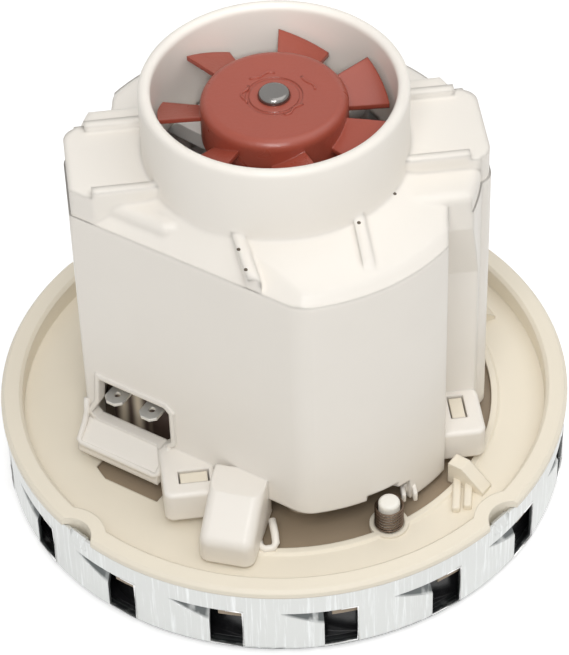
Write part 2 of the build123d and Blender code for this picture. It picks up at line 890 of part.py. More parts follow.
def stator_plan(inset):
    """Plan face of the two-pole stator; the poles lie on the Y axis."""
    flat = stator_flat - inset
    face = Circle(stator_radius - inset) & Rectangle(2 * stator_radius, 2 * flat)
    face -= Circle(stator_bore + inset / 2)
    tip_back = stator_bore + pole_tip_thickness
    coil_ring = Circle(yoke_inner_radius) - Circle(tip_back)
    coil_ring -= Rectangle(2 * pole_neck_half_width, 2 * stator_radius)
    half_gap = 90 - pole_half_angle
    reach = yoke_inner_radius / cos(radians(half_gap / 2)) ** 2
    gap_slice = make_face(
        Polyline((0, 0), polar(reach, -half_gap), polar(reach, 0), polar(reach, half_gap), close=True)
    )
    gap_ring = Circle(yoke_inner_radius) & (gap_slice + Rot(0, 0, 180) * gap_slice)
    return face - coil_ring - gap_ring


def stator():
    """Laminated core and its two end insulators."""
    core = Pos(0, 0, armature_bottom) * extrude(stator_plan(0), armature_top - armature_bottom)
    sheet = extrude(stator_plan(insulator_inset), insulator_thickness)
    return core, Pos(0, 0, insulated_bottom) * sheet, Pos(0, 0, armature_top) * sheet


def field_coil():
    """Saddle coil round the neck of the pole on +Y."""
    inner = stator_bore + pole_tip_thickness + coil_clearance
    outer = yoke_inner_radius - coil_clearance
    low = insulated_bottom - coil_end_length
    high = insulated_top + coil_end_length
    slices = wedge(outer + overrun, 90 - coil_half_angle, 90 + coil_half_angle, low, high)
    body = ring(outer, inner, low, high) & slices
    neck = pole_neck_half_width + coil_clearance
    body -= block(-neck, neck, 0, outer + overrun, insulated_bottom - coil_clearance, insulated_top + coil_clearance)
    top_edges = body.edges().group_by(Axis.Z)[-1]
    bottom_edges = body.edges().group_by(Axis.Z)[0]
    return fillet(top_edges + bottom_edges, coil_round)


def bearing_bridge():
    """Moulded bridge: base ring, four legs, a cross of arms and the bearing cup."""
    base = insulated_top
    ring_top = base + bridge_ring_height
    frame = ring(post_outer_radius, post_inner_radius, base, ring_top)
    legs = ring(post_outer_radius, post_inner_radius, base, bridge_arm_top)
    cup_radius = upper_bearing_outer / 2 + bridge_cup_wall
    half = bridge_leg_width / 2
    for azimuth in bridge_leg_azimuths:
        frame += legs & (spin(azimuth) * block(0, post_outer_radius, -half, half, base, bridge_arm_top))
        arm = block(0, post_inner_radius + overrun, -half, half, bridge_arm_bottom, bridge_arm_top)
        frame += spin(azimuth) * arm
    frame += disc(cup_radius, bridge_arm_bottom, bridge_cup_top)
    frame -= disc(upper_bearing_outer / 2, bearing_seat_bottom, bridge_cup_top + overrun)
    frame -= disc(shaft_core_radius + air_gap, bridge_arm_bottom - overrun, bearing_seat_bottom + overrun)
    envelope = turned(
        [
            (0, base - overrun),
            (post_outer_radius + 2 * boss_radius, base - overrun),
            (post_outer_radius + 2 * boss_radius, ring_top + overrun),
            (post_outer_radius, ring_top + overrun),
            (post_outer_radius, bridge_arm_top - bridge_shoulder_drop),
            (post_outer_radius - bridge_shoulder_inset, bridge_arm_top),
            (cup_radius + overrun, bridge_arm_top),
            (cup_radius + overrun, bridge_cup_top),
            (0, bridge_cup_top),
        ]
    )
    frame &= envelope
    holder_bottom = brush_centre - brush_height / 2 - slide_gap - brush_tube_wall - brush_holder_wall
    shelf_half = holder_shelf_width / 2
    for side in (0, 180):
        shelf = legs & (spin(side) * block(0, post_outer_radius, -shelf_half, shelf_half, base, holder_bottom))
        frame += shelf
    for azimuth in screw_azimuths:
        place = Pos(*polar(screw_circle, azimuth), 0)
        frame += place * disc(boss_radius, base, ring_top)
        frame -= place * disc(screw_radius, base - overrun, ring_top + overrun)
    return frame


def stator_screws():
    """Two long pan-head screws that clamp bridge and stator to the bowl."""
    head_bottom = insulated_top + bridge_ring_height
    screws = []
    for azimuth in screw_azimuths:
        place = Pos(*polar(screw_circle, azimuth), 0)
        head = disc(screw_head_radius, head_bottom, head_bottom + screw_head_height)
        head = rounded(head, circles_at(head, screw_head_radius, head_bottom + screw_head_height), screw_head_height / 2)
        slot = block(
            -screw_head_radius, screw_head_radius, -brush_tube_wall, brush_tube_wall,
            head_bottom + screw_head_height / 2, head_bottom + 2 * screw_head_height,
        )
        screw = head - slot + disc(screw_radius, insulated_bottom - screw_depth, head_bottom)
        screws.append((place * screw).solid())
    return group(screws)


def brush_pieces():
    """Holder, brass tube, carbon brush and rolled ribbon spring on +X."""
    half_y = brush_thickness / 2
    half_z = brush_height / 2
    low = brush_centre - half_z
    high = brush_centre + half_z
    tube_y = half_y + slide_gap
    tube_z = half_z + slide_gap
    outer_y = tube_y + brush_tube_wall
    outer_z = tube_z + brush_tube_wall
    tube_start = commutator_radius + brush_tube_gap
    tube_end = tube_start + brush_tube_length
    tube = block(tube_start, tube_end, -outer_y, outer_y, brush_centre - outer_z, brush_centre + outer_z)
    tube -= block(
        tube_start - overrun, tube_end + overrun, -tube_y, tube_y, brush_centre - tube_z, brush_centre + tube_z
    )
    holder_y = outer_y + brush_holder_wall
    holder_z = outer_z + brush_holder_wall
    holder_start = tube_start + brush_holder_inset
    holder_end = holder_start + brush_holder_length
    holder = block(
        holder_start, holder_end, -holder_y, holder_y, brush_centre - holder_z, brush_centre + holder_z
    )
    holder -= block(
        holder_start - overrun, holder_end + overrun, -outer_y, outer_y,
        brush_centre - outer_z, brush_centre + outer_z,
    )
    holder = fillet(holder.edges().filter_by(Axis.X).sort_by_distance((0, 0, brush_centre))[-4:], brush_holder_wall / 2)

    face_x = commutator_radius + brush_contact_gap
    brush = block(face_x - overrun, face_x + brush_length, -half_y, half_y, low, high)
    brush -= disc(face_x, low - overrun, high + overrun)

    # The ribbon spring rolls up behind the brush; its tail lies along the brush
    outer_roll = brush_coil_core + brush_coil_turns * brush_coil_pitch + brush_ribbon
    roll_x = face_x + brush_length + outer_roll
    steps = 16
    inner_points = []
    outer_points = []
    for index in range(brush_coil_turns * steps + 1):
        turn = index / steps
        angle = 2 * pi * turn + pi / 2
        radius = brush_coil_core + turn * brush_coil_pitch
        inner_points.append((roll_x + radius * cos(angle), radius * sin(angle)))
        outer_points.append((roll_x + (radius + brush_ribbon) * cos(angle), (radius + brush_ribbon) * sin(angle)))
    half_ribbon = brush_coil_width / 2
    roll = prism(inner_points + outer_points[::-1], brush_centre - half_ribbon, brush_centre + half_ribbon)
    return holder, tube, brush, roll


def hood_frame(inset):
    """The cover as one solid, shrunk by an inset so that it also makes its own hollow."""
    radius = hood_radius - inset
    flat = flat_distance - inset
    reach = ear_reach - inset
    half = ear_half_width - inset
    top = ear_ridge + overrun
    big = 2 * hood_radius

    def plan(step):
        """Plan face of the wall: circle, ears, terminal flat and two notches."""
        ears = Rectangle(2 * (reach - step), 2 * (half - step))
        ears = fillet(ears.vertices(), ear_corner)
        face = Circle(radius - step) + ears
        beyond = Rot(0, 0, flat_azimuth) * Pos(flat - step + big / 2, 0) * Rectangle(big, big)
        face -= beyond
        blend_points = [polar(radius - step, flat_azimuth + degrees(acos((flat - step) / (radius - step))))]
        corners = [face.vertices().sort_by_distance(point)[0] for point in blend_points]
        return fillet(corners, flat_blend - inset)

    lower = Pos(0, 0, hood_bottom - overrun) * extrude(plan(0), crease_height - hood_bottom + overrun - inset)
    upper = Pos(0, 0, hood_bottom) * extrude(plan(crease_step), top - hood_bottom)
    knee = radius - shoulder_width
    roof = turned(
        [
            (0, hood_bottom),
            (big, hood_bottom),
            (big, crease_height - inset),
            (radius - crease_step, crease_height - inset),
            (knee, crease_height + shoulder_height - inset),
            (collar_outer_radius, roof_height - inset),
            (0, roof_height - inset),
        ]
    )
    cap = upper & roof
    flat_cut = side_cut(
        [
            (flat - crease_step, crease_height - inset),
            (flat + big, crease_height - inset),
            (flat + big, top + big),
            (flat - crease_step - shoulder_width, top + big),
            (collar_outer_radius - crease_step - inset, roof_height - inset),
        ],
        big,
    )
    cap -= spin(flat_azimuth) * flat_cut
    ears_high = upper & block(-big, big, -half, half, crease_height - overrun, ear_plateau - inset)
    shelf_y = shelf_half_width - inset
    shelf = upper & block(-big, big, -shelf_y, shelf_y, crease_height - overrun, shelf_height - inset)
    shelf_cut = side_cut(
        [
            (flat - crease_step, crease_height - inset),
            (flat + big, crease_height - inset),
            (flat + big, top + big),
            (flat - crease_step - shoulder_width, top + big),
            (flat - crease_step - shoulder_width, crease_height + shoulder_height - inset),
        ],
        big,
    )
    shelf -= spin(flat_azimuth) * shelf_cut
    shelf = rounded(shelf, shelf.edges().group_by(Axis.Z)[-1], shelf_round)
    body = lower + cap + shelf + ears_high

    # A notch beside the shelf, its wall leaning out to the shelf's edge near the top
    def notch_plan(height, depth):
        vertex = Vector(notch_reach - inset, inset - depth)
        edge = Vector(*polar(hood_radius, notch_edge_azimuth)) - Vector(inset, 0)
        first = vertex + 2 * (edge - vertex)
        corners = Polyline(first, vertex, (hood_radius + big, vertex.Y), (hood_radius + big, first.Y), close=True)
        return Pos(0, 0, height) * make_face(corners)

    break_top = crease_height - notch_break_drop
    notch = loft(
        [
            notch_plan(0, notch_half_low),
            notch_plan(break_top - notch_break, notch_half_low),
            notch_plan(break_top, shelf_half_width),
            notch_plan(top + overrun, shelf_half_width),
        ],
        ruled=True,
    )
    body -= notch
    body -= spin(180) * notch
    return body


def top_hood():
    """Latched cover with its collar, ears, terminal window, snaps and foot."""
    body = hood_frame(0)

    # Ridges along the ears, ribs on the roof
    for side in (1, -1):
        low = min(side * ear_half_width, side * (ear_half_width - ear_ridge_width))
        high = max(side * ear_half_width, side * (ear_half_width - ear_ridge_width))
        for direction in (1, -1):
            x_low = min(direction * (collar_inner_radius), direction * (ear_reach - ear_ridge_end))
            x_high = max(direction * (collar_inner_radius), direction * (ear_reach - ear_ridge_end))
            ridge = block(x_low, x_high, low, high, ear_plateau - overrun, ear_ridge)
            body += ridge & disc(hood_radius - crease_step, 0, collar_top)
    for start, end in roof_ribs:
        inner = Vector(*polar(collar_inner_radius, start))
        outer = Vector(*polar(hood_radius - crease_step - roof_rib_width / 2, end))
        run = outer - inner
        angle = degrees(atan2(run.Y, run.X))
        blade = side_cut(
            [
                (0, crease_height - hood_wall),
                (run.length, crease_height - hood_wall),
                (run.length, crease_height + roof_rib_height / 4),
                (run.length - 2 * shoulder_width, crease_height + shoulder_height + roof_rib_height),
                (0, roof_height + roof_rib_height),
            ],
            roof_rib_width / 2,
        )
        rib = Pos(inner.X, inner.Y, 0) * Rot(0, 0, angle) * blade
        flat_side = Pos(flat_distance - crease_step + hood_radius, 0, 0) * Box(
            2 * hood_radius, 4 * hood_radius, 4 * hood_radius
        )
        body += rib - spin(flat_azimuth) * flat_side

    # Snap blocks, the foot and the terminal chute stand out from the wall
    for turn, reach, centre, half, root in snaps:
        boss = block(reach - root, reach, centre - half, centre + half, hood_bottom, snap_top)
        boss = fillet(boss.edges().filter_by(Axis.Z).group_by(Axis.X)[-1], snap_round)
        boss = rounded(boss, boss.edges().group_by(Axis.Z)[-1], snap_round / 2)
        body += spin(turn) * boss
    leg_reach = hood_radius + leg_length
    leg_bottom = deck_top + leg_lift
    leg = side_cut(
        [
            (hood_radius - 4 * hood_wall, leg_bottom),
            (leg_reach, leg_bottom),
            (leg_reach, leg_bottom + leg_outer_height),
            (hood_radius, leg_bottom + leg_inner_height),
            (hood_radius - 4 * hood_wall, leg_bottom + leg_inner_height),
        ],
        leg_width / 2,
    )
    toe = leg.edges().filter_by(Axis.Y).group_by(Axis.X)[-1]
    leg = fillet(toe.group_by(Axis.Z)[-1], leg_toe_round)
    leg = fillet(leg.edges().filter_by(Axis.Z).group_by(Axis.X)[-1], leg_round)
    body += spin(leg_azimuth) * leg
    window_low = tab_height - window_depth
    window_high = tab_height + window_rise
    chute_top = window_low - chute_drop
    chute_lip = hood_bottom + chute_lip_height
    chute_start = tab_centre - chute_left
    chute_end = tab_centre + chute_right
    chute = side_cut(
        [
            (flat_distance - 2 * hood_wall, hood_bottom),
            (flat_distance + chute_reach, hood_bottom),
            (flat_distance + chute_reach, chute_lip),
            (flat_distance + window_lip_height, chute_top),
            (flat_distance - 2 * hood_wall, chute_top),
        ],
        (chute_end - chute_start) / 2,
    )
    chute = Pos(0, (chute_start + chute_end) / 2, 0) * chute
    body += spin(flat_azimuth) * chute

    # Window lip
    left = tab_centre - window_left
    right = tab_centre + window_right
    window = [
        (left, window_low + window_corner),
        (left + window_corner, window_low),
        (right - window_shoulder, window_low),
        (right, window_low + window_shoulder),
        (right, window_high - window_corner),
        (right - window_corner, window_high),
        (left + window_shoulder, window_high),
        (left + window_shoulder - window_lip_height, window_low + 2 * window_shoulder),
    ]
    frame_plane = Plane((flat_distance - 4 * hood_wall, 0, 0), x_dir=(0, 1, 0), z_dir=(1, 0, 0))
    window_face = make_face(Polyline(*window, close=True))
    lip_face = offset(window_face, window_lip_width, kind=Kind.INTERSECTION)
    lip = extrude(frame_plane * lip_face, 4 * hood_wall + window_lip_height)
    body += spin(flat_azimuth) * lip

    # Hollow inside
    hollow = hood_frame(hood_wall)
    body -= hollow
    wall_cut = extrude(frame_plane * window_face, 8 * hood_wall)
    body -= spin(flat_azimuth) * wall_cut
    chute_hollow = side_cut(
        [
            (flat_distance - 3 * hood_wall, hood_bottom - overrun),
            (flat_distance + chute_reach - chute_wall, hood_bottom - overrun),
            (flat_distance + chute_reach - chute_wall, chute_lip - chute_wall / 2),
            (flat_distance - hood_wall + window_lip_height, chute_top - chute_wall),
            (flat_distance - 3 * hood_wall, chute_top - chute_wall),
        ],
        (chute_end - chute_start) / 2 - chute_wall,
    )
    chute_hollow = Pos(0, (chute_start + chute_end) / 2, 0) * chute_hollow
    body -= spin(flat_azimuth) * chute_hollow
    for turn, reach, centre, _, _ in snaps:
        outer = reach - slot_wall
        inner = outer - slot_reach
        ledge = snap_top - latch_gap - latch_nose_height - slide_gap
        low = centre + slot_shift - slot_length / 2
        high = centre + slot_shift + slot_length / 2
        slot = block(inner, outer, low, high, ledge, snap_top + overrun)
        slot += block(inner, outer - latch_ledge, low, high, hood_bottom - overrun, snap_top)
        body -= spin(turn) * slot

    # Air edge at the front and back, and the notch round the pin
    sector = wedge(2 * hood_radius, hood_air_start, hood_air_end, hood_bottom - overrun, hood_air_edge)
    leg_keep = spin(leg_azimuth) * block(0, 2 * hood_radius, -leg_width / 2, leg_width / 2, 0, collar_top)
    sector -= leg_keep
    body -= sector
    body -= spin(180) * wedge(2 * hood_radius, hood_air_start, hood_air_end, hood_bottom - overrun, hood_air_edge)
    place = Pos(*polar(pin_centre_radius, pin_azimuth), 0)
    body -= place * disc(pin_notch_half_width, hood_bottom - overrun, deck_top + spring_length + 2 * overrun)

    # Collar, with a little draft at its root
    collar_root = roof_height - 2 * hood_wall
    body += turned(
        [
            (collar_inner_radius, collar_root),
            (collar_outer_radius + crease_step, collar_root),
            (collar_outer_radius, ear_ridge + crease_step),
            (collar_outer_radius, collar_top),
            (collar_inner_radius, collar_top),
        ]
    )
    body -= disc(collar_inner_radius, roof_height - 4 * hood_wall, collar_top + overrun)
    rim = circles_at(body, collar_outer_radius, collar_top) + circles_at(body, collar_inner_radius, collar_top)
    body = rounded(body, rim, collar_round)
    return body


def terminals():
    """Insulating block behind the window and its two blades, in the frame of the flat."""
    low = tab_centre - block_width / 2
    high = tab_centre + block_width / 2
    block_outer = flat_distance - hood_wall - block_gap
    tab_root = block_outer - tab_seat
    tab_tip = flat_distance + tab_proud
    body = block(
        block_outer - block_thickness, block_outer, low, high, bowl_floor_top, insulated_bottom - block_headroom
    )
    blades = []
    for side in (-1, 1):
        centre = tab_centre + side * tab_spacing / 2
        body -= block(
            tab_root - overrun, tab_tip + overrun, centre - tab_width / 2, centre + tab_width / 2,
            tab_height - tab_thickness / 2, tab_height + tab_thickness / 2,
        )
        blade = block(
            tab_root, tab_tip, centre - tab_width / 2, centre + tab_width / 2,
            tab_height - tab_thickness / 2, tab_height + tab_thickness / 2,
        )
        blade = chamfer(blade.edges().filter_by(Axis.Z).group_by(Axis.X)[-1], tab_chamfer)
        blade -= Pos(tab_tip - tab_hole_inset, centre, tab_height) * Cylinder(tab_hole_radius, 2 * tab_thickness)
        blades.append(spin(flat_azimuth) * blade)
    return spin(flat_azimuth) * body, blades


def cooling_fan():
    """Axial fan: cup hub with seven pitched blades."""
    hub = disc(fan_hub_radius, fan_hub_bottom, fan_hub_top)
    hub = rounded(hub, circles_at(hub, fan_hub_radius, fan_hub_top), fan_hub_round)
    hub -= ring(
        fan_hub_radius - fan_hub_wall, fan_boss_radius, fan_hub_bottom - overrun, fan_hub_top - fan_hub_wall
    )
    hub -= ring(
        fan_ring_radius, fan_ring_radius - fan_ring_width, fan_hub_top - fan_ring_depth, fan_hub_top + overrun
    )
    root = fan_hub_radius - fan_hub_wall / 2
    blade = block(
        0, fan_tip_radius + overrun, -fan_tip_radius, fan_tip_radius,
        -fan_blade_thickness / 2, fan_blade_thickness / 2,
    )
    blade = Pos(0, 0, fan_hub_bottom + fan_blade_lift) * Rot(fan_blade_pitch, 0, 0) * blade
    blade &= wedge(fan_tip_radius, -fan_blade_half_angle, fan_blade_half_angle, fan_hub_bottom, fan_hub_top)
    blade &= ring(fan_tip_radius, root, fan_hub_bottom, fan_hub_top)
    for azimuth in spaced(fan_blade_count, fan_blade_start):
        hub += spin(azimuth) * blade
    hub -= disc(upper_bearing_bore / 2, fan_hub_bottom - 2 * overrun, fan_hub_top + overrun)
    return hub


def contact_pin():
    """Domed pin that slides in the bowl's cup."""
    pin_top = deck_top + spring_length + pin_stickout
    body = disc(pin_radius, deck_underside + pin_travel + seat_gap, pin_top)
    body = rounded(body, circles_at(body, pin_radius, pin_top), pin_dome)
    return Pos(*polar(pin_centre_radius, pin_azimuth), 0) * body


def contact_spring():
    """One unbroken tube of wire wound round the pin, swept along half-turn arcs."""
    coil_radius = spring_outer_radius - spring_wire / 2
    bottom = deck_top + spring_wire / 2
    rise = spring_length - spring_wire
    climb = rise / (2 * pi * spring_turns)

    def place_at(turn):
        """Point and tangent on the wire's centre line."""
        angle = 2 * pi * turn
        point = Vector(coil_radius * cos(angle), coil_radius * sin(angle), bottom + climb * angle)
        tangent = Vector(-coil_radius * sin(angle), coil_radius * cos(angle), climb).normalized()
        return point, tangent

    def arc(start, corner, end):
        """The arc that leaves start and reaches end tangent to the lines to the corner."""
        middle = (start + end) / 2
        half_angle = acos((start - middle).length / (start - corner).length)
        sagitta = (start - middle).length * tan(half_angle / 2)
        return ThreePointArc(start, middle + (corner - middle).normalized() * sagitta, end)

    steps = round(4 * spring_turns)
    arcs = []
    for index in range(steps):
        start, leave = place_at(spring_turns * index / steps)
        end, arrive = place_at(spring_turns * (index + 1) / steps)
        across = end - start
        total = leave + arrive
        curve = 2 * (leave.dot(arrive) - 1)
        along = across.dot(total)
        reach = (along - (along ** 2 - curve * across.dot(across)) ** 0.5) / curve
        near = start + leave * reach
        far = end - arrive * reach
        joint = (near + far) / 2
        arcs.append(arc(start, near, joint))
        arcs.append(arc(joint, far, end))
    path = Wire(arcs)
    start, leave = place_at(0)
    wire = sweep(Plane(start, z_dir=leave) * Circle(spring_wire / 2), path)
    samples = 40
    points = [place_at(index / samples)[0] for index in range(round(samples * spring_turns))]
    closest = min(
        (points[first] - points[second]).length
        for first in range(len(points))
        for second in range(first + samples // 2, len(points))
    )
    print("contact spring least gap to itself", round(closest - spring_wire, 3))
    return Pos(*polar(pin_centre_radius, pin_azimuth), 0) * wire


os.makedirs("parts", exist_ok=True)

save("fan_casing", fan_casing(), steel)
save("diffuser", diffuser(), dark)
save("lower_housing", lower_housing(), ivory)
lower_outer, lower_inner = bearing(lower_bearing_bore, lower_bearing_outer, lower_bearing_width, lower_bearing_bottom)
save("lower_bearing_outer", lower_outer, steel)
save("lower_bearing_inner", lower_inner, steel)
upper_outer, upper_inner = bearing(upper_bearing_bore, upper_bearing_outer, upper_bearing_width, bearing_seat_bottom)
save("upper_bearing_outer", upper_outer, steel)
save("upper_bearing_inner", upper_inner, steel)
save("shaft", shaft(), steel)
core, winding = armature()
save("armature_core", core, grey)
save("armature_winding", winding, copper)
hub, bars = commutator()
save("commutator_hub", hub, dark)
save("commutator_bars", bars, copper)
front_plate, blades, back_plate = impeller()
save("impeller_front_plate", front_plate, steel)
save("impeller_blades", blades, steel)
save("impeller_back_plate", back_plate, steel)
spacer, washer, nut = impeller_fasteners()
save("impeller_spacer", spacer, steel)
save("impeller_washer", washer, steel)
save("impeller_nut", nut, steel)
stack, lower_sheet, upper_sheet = stator()
save("stator_core", stack, grey)
save("lower_stator_insulator", lower_sheet, sand)
save("upper_stator_insulator", upper_sheet, sand)
coil = field_coil()
save("rear_field_coil", coil, copper)
save("front_field_coil", spin(180) * coil, copper)
save("bearing_bridge", bearing_bridge(), white)
save("stator_screws", stator_screws(), steel)
holder, tube, brush, roll = brush_pieces()
for side, turn in (("right", 0), ("left", 180)):
    save(f"{side}_brush_holder", spin(turn) * holder, dark)
    save(f"{side}_brush_tube", spin(turn) * tube, brass)
    save(f"{side}_carbon_brush", spin(turn) * brush, dark)
    save(f"{side}_brush_spring", spin(turn) * roll, steel)
terminal_block, blades = terminals()
save("terminal_block", terminal_block, sand)
save("left_terminal", blades[0], brass)
save("right_terminal", blades[1], brass)
save("top_hood", top_hood(), white)
save("cooling_fan", cooling_fan(), red)
save("contact_pin", contact_pin(), white)
save("contact_spring", contact_spring(), steel)
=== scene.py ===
from math import cos, radians, sin

import bmesh
import bpy
from mathutils import Matrix, Vector


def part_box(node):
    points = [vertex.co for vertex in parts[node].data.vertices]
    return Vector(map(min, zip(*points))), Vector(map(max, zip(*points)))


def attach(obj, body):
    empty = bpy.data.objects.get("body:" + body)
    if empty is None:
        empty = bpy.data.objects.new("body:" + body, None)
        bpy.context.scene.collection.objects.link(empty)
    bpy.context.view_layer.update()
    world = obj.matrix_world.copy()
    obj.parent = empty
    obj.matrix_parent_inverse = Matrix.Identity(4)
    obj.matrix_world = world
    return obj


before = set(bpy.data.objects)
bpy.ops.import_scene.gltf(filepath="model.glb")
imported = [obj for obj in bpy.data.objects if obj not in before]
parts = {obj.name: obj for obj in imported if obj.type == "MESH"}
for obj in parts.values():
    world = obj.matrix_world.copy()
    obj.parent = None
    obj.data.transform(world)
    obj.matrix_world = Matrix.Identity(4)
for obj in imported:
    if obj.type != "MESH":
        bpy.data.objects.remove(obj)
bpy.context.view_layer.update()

# Studio: the unit stands on its suction face on white paper and is seen from the front
# and well above, lit from beside the camera, softly from overhead and by a spot on the
# collar. The paper is white to the camera and still takes the shadow.
aim = Vector((0, 0, 0.040))
view_turn = radians(-5.8)
view_rise = radians(44.46)
view_distance = 0.68886
camera_tilt = 0.034

outward = Vector((sin(view_turn) * cos(view_rise), -cos(view_turn) * cos(view_rise), sin(view_rise)))
level = Vector((cos(view_turn), sin(view_turn), 0))
upward = outward.cross(level)
right = (level - camera_tilt * upward).normalized()
up = (upward + camera_tilt * level).normalized()
camera_data = bpy.data.cameras.new("camera")
camera_data.lens = 165.32
camera_data.sensor_width = 36
camera_data.shift_x = 0.00426
camera_data.shift_y = -0.01226
camera = bpy.data.objects.new("camera", camera_data)
turned = Matrix((right, up, outward)).transposed().to_4x4()
camera.matrix_world = Matrix.Translation(aim + view_distance * outward) @ turned
bpy.context.scene.collection.objects.link(camera)
bpy.context.scene.camera = camera
bpy.context.scene.view_settings.view_transform = "Standard"


def point_lamp(name, data, place, target):
    """Sets a lamp at its place and turns it to the target."""
    lamp = bpy.data.objects.new(name, data)
    turn = (target - Vector(place)).to_track_quat("-Z", "Y")
    lamp.matrix_world = Matrix.Translation(place) @ turn.to_matrix().to_4x4()
    bpy.context.scene.collection.objects.link(lamp)


def soft_lamp(name, place, size, power):
    """A square area lamp that points at the middle of the unit."""
    data = bpy.data.lights.new(name, "AREA")
    data.shape = "SQUARE"
    data.size = size
    data.energy = power
    point_lamp(name, data, place, aim)


def feed(tree, socket, value):
    """Links a socket to the input, or sets the input to a number or a colour."""
    if isinstance(value, bpy.types.NodeSocket):
        tree.links.new(value, socket)
    else:
        socket.default_value = value


def node(tree, kind, **values):
    """A shader node with its inputs set by name, with _ for a space."""
    made = tree.nodes.new(kind)
    for key, value in values.items():
        feed(tree, made.inputs[key.replace("_", " ")], value)
    return made


def maths(tree, operation, *values):
    """The result of one operation on numbers or sockets."""
    made = tree.nodes.new("ShaderNodeMath")
    made.operation = operation
    for socket, value in zip(made.inputs, values):
        feed(tree, socket, value)
    return made.outputs[0]


def seen_share(tree, strength):
    """A strength for what looks straight at a surface: by eye, in a mirror or through glass."""
    rays = tree.nodes.new("ShaderNodeLightPath")
    either = maths(tree, "MAXIMUM", rays.outputs["Is Camera Ray"], rays.outputs["Is Glossy Ray"])
    seen = maths(tree, "MAXIMUM", either, rays.outputs["Is Transmission Ray"])
    return maths(tree, "MULTIPLY", seen, strength)


soft_lamp("camera_lamp", place=(-0.08, -0.44, 0.62), size=0.30, power=2.0)
soft_lamp("top_lamp", place=(0.42, -0.05, 1.12), size=1.1, power=4.6)

collar_lamp = bpy.data.lights.new("collar_lamp", "SPOT")
collar_lamp.energy = 6.0
collar_lamp.spot_size = radians(6.4)
collar_lamp.spot_blend = 0.9
collar_lamp.shadow_soft_size = 0.03
collar_wall = Vector((0, 0.024, 0.116))
point_lamp("collar_lamp", collar_lamp, (-0.03, -0.45, 0.48), collar_wall)

world = bpy.data.worlds.new("studio")
bpy.context.scene.world = world
world.use_nodes = True
tree = world.node_tree
tree.nodes.clear()
room = node(tree, "ShaderNodeBackground", Color=(1.0, 0.985, 0.955, 1), Strength=0.43)
paper_white = node(tree, "ShaderNodeBackground", Color=(1, 1, 1, 1), Strength=1.0)
sky = node(tree, "ShaderNodeMixShader", Fac=seen_share(tree, 1.0))
tree.links.new(room.outputs[0], sky.inputs[1])
tree.links.new(paper_white.outputs[0], sky.inputs[2])
node(tree, "ShaderNodeOutputWorld", Surface=sky.outputs[0])

paper_reach = 3.0
paper_drop = 0.0006
paper_mesh = bpy.data.meshes.new("paper")
sheet = bmesh.new()
bmesh.ops.create_grid(sheet, x_segments=8, y_segments=8, size=paper_reach)
bmesh.ops.translate(sheet, verts=sheet.verts, vec=(0, 0, -paper_drop))
sheet.to_mesh(paper_mesh)
sheet.free()
paper = bpy.data.objects.new("paper", paper_mesh)
bpy.context.scene.collection.objects.link(paper)
white_paper = bpy.data.materials.new("white_paper")
white_paper.use_nodes = True
tree = white_paper.node_tree
tree.nodes.clear()
matt = node(tree, "ShaderNodeBsdfDiffuse", Color=(0.80, 0.80, 0.80, 1))
glow = node(tree, "ShaderNodeEmission", Color=(1, 1, 1, 1), Strength=seen_share(tree, 0.50))
both = tree.nodes.new("ShaderNodeAddShader")
tree.links.new(matt.outputs[0], both.inputs[0])
tree.links.new(glow.outputs[0], both.inputs[1])
node(tree, "ShaderNodeOutputMaterial", Surface=both.outputs[0])
paper_mesh.materials.append(white_paper)

# Fan casing: a cup pressed from galvanised sheet, with sixteen exhaust windows and
# a louvre dent beside each, closed over the bowl by four crimped ears. The zinc is
# bright, with faint upright drawing streaks and a soft mottled spangle.


def ramp(tree, value, low, high, start=0.0, end=1.0):
    """A result that goes from start to end while the value goes from low to high."""
    made = node(
        tree, "ShaderNodeMapRange", Value=value, From_Min=low, From_Max=high, To_Min=start, To_Max=end
    )
    return made.outputs[0]


def blend(tree, share, first, second):
    """A colour mixed from two by the share. A colour mix has its inputs at 0, 6 and 7."""
    made = tree.nodes.new("ShaderNodeMix")
    made.data_type = "RGBA"
    for place, value in zip((0, 6, 7), (share, first, second)):
        feed(tree, made.inputs[place], value)
    return made.outputs[2]


def mottled(tree, share, colour, spread):
    """The colour made darker and lighter by the spread, as the share goes from 0 to 1."""
    darker = tuple(c * (1 - spread) for c in colour) + (1,)
    lighter = tuple(min(1, c * (1 + spread)) for c in colour) + (1,)
    return blend(tree, share, darker, lighter)


def grained(tree, edge, grain, strength, distance):
    """A surface direction with rounded edges and a fine relief."""
    soft = node(tree, "ShaderNodeBevel", Radius=edge)
    soft.samples = 6
    bump = node(
        tree, "ShaderNodeBump", Strength=strength, Distance=distance, Height=grain, Normal=soft.outputs[0]
    )
    return bump.outputs[0]


def metal(name, colour, roughness, streak=(1, 1, 1), size=40.0, spread=0.08, relief=0.05, edge=0.0003):
    """A bare metal with a mottled tint, uneven gloss and a fine stretched relief."""
    made = bpy.data.materials.new(name)
    made.use_nodes = True
    tree = made.node_tree
    shader = tree.nodes["Principled BSDF"]
    shader.inputs["Metallic"].default_value = 1.0
    place = tree.nodes.new("ShaderNodeTexCoord")
    stretched = node(tree, "ShaderNodeMapping", Vector=place.outputs["Object"], Scale=streak).outputs[0]
    cloud = node(tree, "ShaderNodeTexNoise", Vector=stretched, Scale=size, Detail=4.0, Roughness=0.55)
    fine = node(tree, "ShaderNodeTexNoise", Vector=stretched, Scale=size * 18, Detail=3.0)
    gloss = ramp(tree, cloud.outputs["Fac"], 0.3, 0.7, roughness * 0.8, roughness * 1.2)
    feed(tree, shader.inputs["Base Color"], mottled(tree, cloud.outputs["Fac"], colour, spread))
    feed(tree, shader.inputs["Roughness"], gloss)
    feed(tree, shader.inputs["Normal"], grained(tree, edge, fine.outputs["Fac"], relief, 0.0002))
    return made


def dress(material, *names):
    """Puts one finish on these CAD nodes."""
    for name in names:
        for slot in parts[name].material_slots:
            slot.material = material


